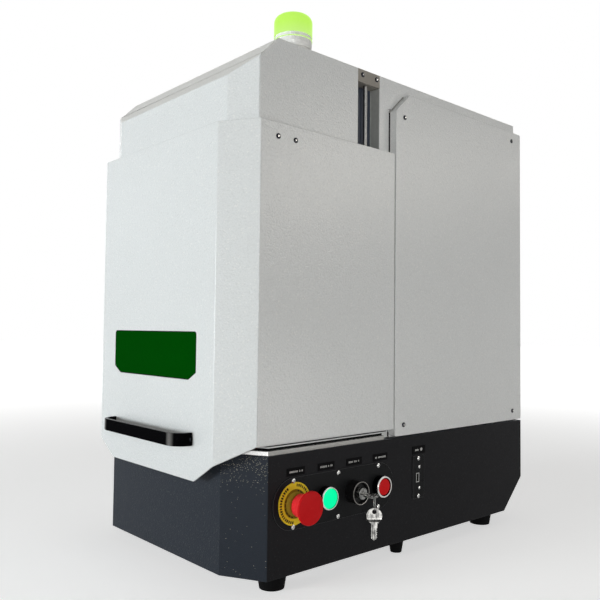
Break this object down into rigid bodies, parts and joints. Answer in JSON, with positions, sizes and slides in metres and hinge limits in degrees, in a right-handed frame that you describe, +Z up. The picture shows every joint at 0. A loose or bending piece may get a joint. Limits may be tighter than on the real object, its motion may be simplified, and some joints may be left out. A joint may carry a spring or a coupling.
{
  "type": "fiber laser engraver",
  "caption": "Enclosed desktop laser engraver: dark base with side controls, pale hood, and a three-sided door with a green window that lifts on guide rods.",
  "frame": {"origin": "centre of the base's footprint, on the floor that the feet stand on", "axes": "+X to the right, +Y to the back, +Z up; the door and its handle face -Y and the controls are on the +X side"},
  "size_m": [0.4558, 0.6623, 0.7685],
  "materials": {
    "dark_powder_coat": "dark fine textured powder coat",
    "white_powder_coat": "near-white fine textured powder coat",
    "black_anodised": "black anodised",
    "grey_anodised": "grey anodised",
    "clear_anodised": "clear anodised",
    "ground_steel": "ground and plated",
    "stainless": "stainless",
    "black_steel": "blackened steel",
    "nickel": "nickel plated brass",
    "foot_rubber": "matte",
    "seal_rubber": "matte foam",
    "black_plastic": "moulded",
    "white_plastic": "moulded",
    "lamp_lens": "translucent, lit",
    "led_board": "lamp board",
    "window_green": "laser filter acrylic",
    "stop_yellow": "satin",
    "stop_red": "satin",
    "start_green": "translucent, lit",
    "reset_red": "translucent",
    "rocker_red": "translucent",
    "pad_plastic": "low-friction",
    "mirror_coat": "coated silicon"
  },
  "bodies": {
    "frame": {"base_shell": "dark_powder_coat", "base_floor": "dark_powder_coat", "corner_feet": "foot_rubber", "middle_feet": "foot_rubber", "deck_plate": "white_powder_coat", "sill_plate": "white_powder_coat", "sill_seals": "seal_rubber", "work_table": "grey_anodised", "hood_shell": "white_powder_coat", "partition_wall": "white_powder_coat", "guide_channels": "grey_anodised", "guide_rods": "ground_steel", "rod_end_blocks": "clear_anodised", "left_side_cover": "white_powder_coat", "right_side_cover": "white_powder_coat", "cover_screws": "black_steel", "rear_panel": "white_powder_coat", "fan_housing": "black_plastic", "fan_guard": "ground_steel", "mains_inlet": "black_plastic", "lamp_foot": "white_plastic", "lamp_lens": "lamp_lens", "lamp_led": "led_board", "control_plate": "black_anodised", "panel_screws": "stainless", "usb_plate": "black_anodised", "usb_socket": "stainless", "stop_ring": "stop_yellow", "stop_body": "stop_yellow", "button_bezels": "stainless", "key_switch": "black_plastic", "head_column": "clear_anodised", "head_motor": "black_steel", "laser_source": "black_anodised", "power_supply": "clear_anodised"},
    "door": {"door_shell": "white_powder_coat", "window_pane": "window_green", "window_gasket": "seal_rubber", "door_handle": "black_anodised", "door_screws": "black_steel", "door_carriages": "grey_anodised", "rod_bushes": "stainless", "door_pads": "pad_plastic"},
    "stop_stem": {"stop_stem": "stop_red"},
    "stop_head": {"stop_head": "stop_red"},
    "start_button": {"start_cap": "start_green"},
    "reset_button": {"reset_cap": "reset_red"},
    "key_lock": {"key_barrel": "nickel", "key": "nickel"},
    "key_ring": {"key_ring": "ground_steel"},
    "spare_key": {"spare_key": "nickel"},
    "head": {"head_carriage": "black_anodised", "galvo_head": "black_anodised", "scan_lens": "black_anodised", "beam_isolator": "clear_anodised"},
    "screw": {"lead_screw": "stainless"},
    "x_mirror": {"x_mirror": "mirror_coat"},
    "y_mirror": {"y_mirror": "mirror_coat"},
    "fan": {"fan_rotor": "black_plastic"},
    "rocker": {"mains_rocker": "rocker_red"}
  },
  "joints": [
    {"name": "door_lift", "type": "slide", "parent": "frame", "child": "door", "axis": [0, 0, 1], "range_m": [0, 0.258]},
    {"name": "stop_press", "type": "slide", "parent": "frame", "child": "stop_stem", "axis": [-1, 0, 0], "range_m": [0, 0.005]},
    {"name": "stop_twist", "type": "hinge", "parent": "stop_stem", "child": "stop_head", "pos_m": [0.23, -0.2329, 0.1107], "axis": [1, 0, 0], "range_deg": [0, 45], "stiffness_Nm_per_rad": 0.05},
    {"name": "start_press", "type": "slide", "parent": "frame", "child": "start_button", "axis": [-1, 0, 0], "range_m": [0, 0.003], "stiffness_N_per_m": 500},
    {"name": "reset_press", "type": "slide", "parent": "frame", "child": "reset_button", "axis": [-1, 0, 0], "range_m": [0, 0.003], "stiffness_N_per_m": 500},
    {"name": "key_turn", "type": "hinge", "parent": "frame", "child": "key_lock", "pos_m": [0.2215, -0.1263, 0.1107], "axis": [1, 0, 0], "range_deg": [-90, 0]},
    {"name": "ring_swing", "type": "hinge", "parent": "key_lock", "child": "key_ring", "pos_m": [0.24288, -0.12923, 0.1107], "axis": [0.6659, 0.7461, 0], "range_deg": [-60, 8]},
    {"name": "spare_swing", "type": "hinge", "parent": "key_ring", "child": "spare_key", "pos_m": [0.24452, -0.1307, 0.0944], "axis": [0.7461, -0.6659, 0], "range_deg": [-60, 60]},
    {"name": "head_lift", "type": "slide", "parent": "frame", "child": "head", "axis": [0, 0, 1], "range_m": [-0.1, 0.06]},
    {"name": "screw_turn", "type": "hinge", "parent": "frame", "child": "screw", "pos_m": [0, -0.088, 0.4], "axis": [0, 0, 1], "continuous": true},
    {"name": "x_mirror_turn", "type": "hinge", "parent": "head", "child": "x_mirror", "pos_m": [0, -0.1904, 0.486], "axis": [0, 0, 1], "range_deg": [-10, 10]},
    {"name": "y_mirror_turn", "type": "hinge", "parent": "head", "child": "y_mirror", "pos_m": [0, -0.2084, 0.486], "axis": [1, 0, 0], "range_deg": [-10, 10]},
    {"name": "fan_spin", "type": "hinge", "parent": "frame", "child": "fan", "pos_m": [0, 0.2875, 0.56], "axis": [0, 1, 0], "continuous": true},
    {"name": "rocker_tilt", "type": "hinge", "parent": "frame", "child": "rocker", "pos_m": [-0.137, 0.2975, 0.1235], "axis": [1, 0, 0], "range_deg": [-18, 0]}
  ],
  "couplings": [
    {"joint": "screw_turn", "follows": "head_lift", "rad_per_m": 628.32}
  ]
}
